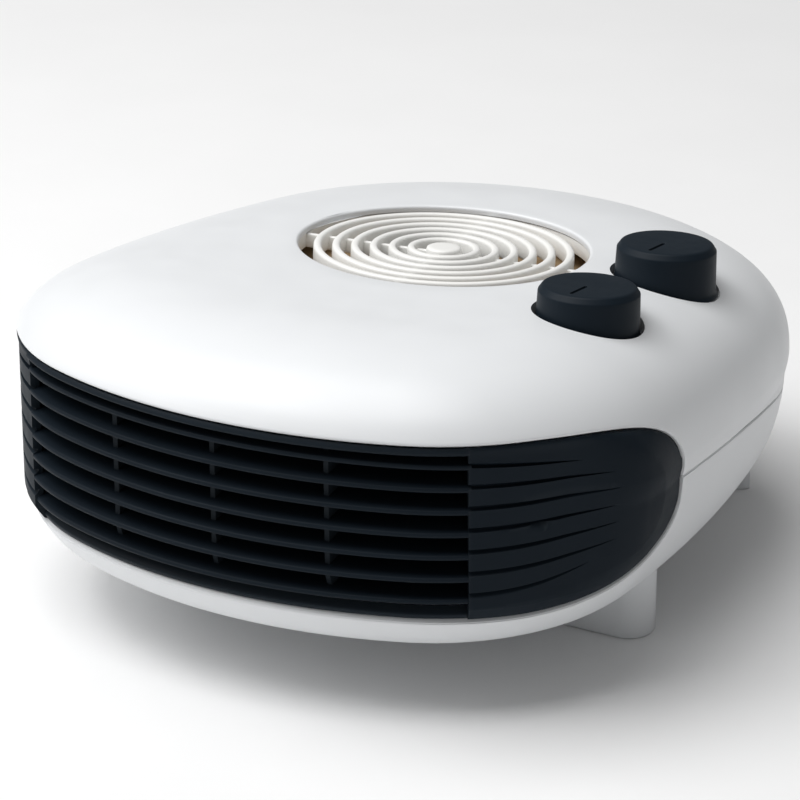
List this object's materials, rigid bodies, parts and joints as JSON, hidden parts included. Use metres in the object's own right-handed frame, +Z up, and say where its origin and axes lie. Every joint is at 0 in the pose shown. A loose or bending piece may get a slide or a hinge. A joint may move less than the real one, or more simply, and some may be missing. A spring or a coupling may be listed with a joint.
{
  "type": "fan convector heater",
  "caption": "Low rounded electric fan heater with a wrap-around slatted front outlet, ringed round top air intake, two control knobs and moulded feet.",
  "frame": {"origin": "centre of the footprint at floor level, under the feet", "axes": "+Z up, -Y towards the outlet grille at the front, +X to the right seen from the front-right corner view (the side with the knobs)"},
  "size_m": [0.2466, 0.2881, 0.125],
  "materials": {
    "case_white": "satin moulded, fine texture",
    "grille_charcoal": "satin moulded",
    "intake_cream": "satin moulded",
    "knob_charcoal": "soft matt moulded",
    "impeller_black": "moulded",
    "board_tan": "resin-bonded board",
    "scroll_black": "glass-filled nylon",
    "zinc_steel": "zinc plated",
    "aluminised_sheet": "aluminised sheet",
    "lamination_steel": "varnished electrical steel",
    "copper_winding": "enamelled winding",
    "bearing_bronze": "sintered",
    "shaft_steel": "ground",
    "bobbin_nylon": "natural nylon",
    "mica_sheet": "pressed mica",
    "ribbon_alloy": "resistance alloy",
    "phenolic_dark": "phenolic moulding",
    "terminal_nylon": "natural nylon",
    "grommet_rubber": "moulded"
  },
  "bodies": {
    "case": {"upper_housing": "case_white", "lower_housing": "case_white", "outlet_grille": "grille_charcoal", "intake_grille": "intake_cream", "thermostat": "phenolic_dark", "selector_switch": "phenolic_dark", "control_screws": "zinc_steel", "stator_laminations": "lamination_steel", "coil_bobbin": "bobbin_nylon", "motor_winding": "copper_winding", "bearing_bracket_upper": "zinc_steel", "bearing_bracket_lower": "zinc_steel", "motor_bearings": "bearing_bronze", "motor_screws": "zinc_steel", "scroll_housing": "scroll_black", "scroll_cover": "board_tan", "air_duct": "aluminised_sheet", "element_frame": "aluminised_sheet", "mica_boards": "mica_sheet", "heating_ribbons": "ribbon_alloy", "thermal_cutout": "phenolic_dark", "thermal_fuse": "zinc_steel", "cord_grommet": "grommet_rubber", "cord_clamp": "terminal_nylon", "terminal_block": "terminal_nylon", "clamp_screws": "zinc_steel", "case_screws": "zinc_steel"},
    "thermostat_control": {"thermostat_knob": "knob_charcoal", "thermostat_spindle": "zinc_steel"},
    "selector_control": {"selector_knob": "knob_charcoal", "selector_spindle": "zinc_steel"},
    "fan": {"fan_impeller": "impeller_black", "motor_rotor": "lamination_steel", "motor_shaft": "shaft_steel"}
  },
  "joints": [
    {"name": "thermostat_turn", "type": "hinge", "parent": "case", "child": "thermostat_control", "pos_m": [0.0788, -0.02311, 0.1146], "axis": [0, 0.0976, 0.9952], "range_deg": [-270, 0]},
    {"name": "selector_turn", "type": "hinge", "parent": "case", "child": "selector_control", "pos_m": [0.0772, 0.03491, 0.1069], "axis": [0, 0.0976, 0.9952], "range_deg": [-135, 0]},
    {"name": "fan_spin", "type": "hinge", "parent": "case", "child": "fan", "pos_m": [0, 0.01317, 0.08089], "axis": [0, 0.0976, 0.9952], "continuous": true}
  ]
}
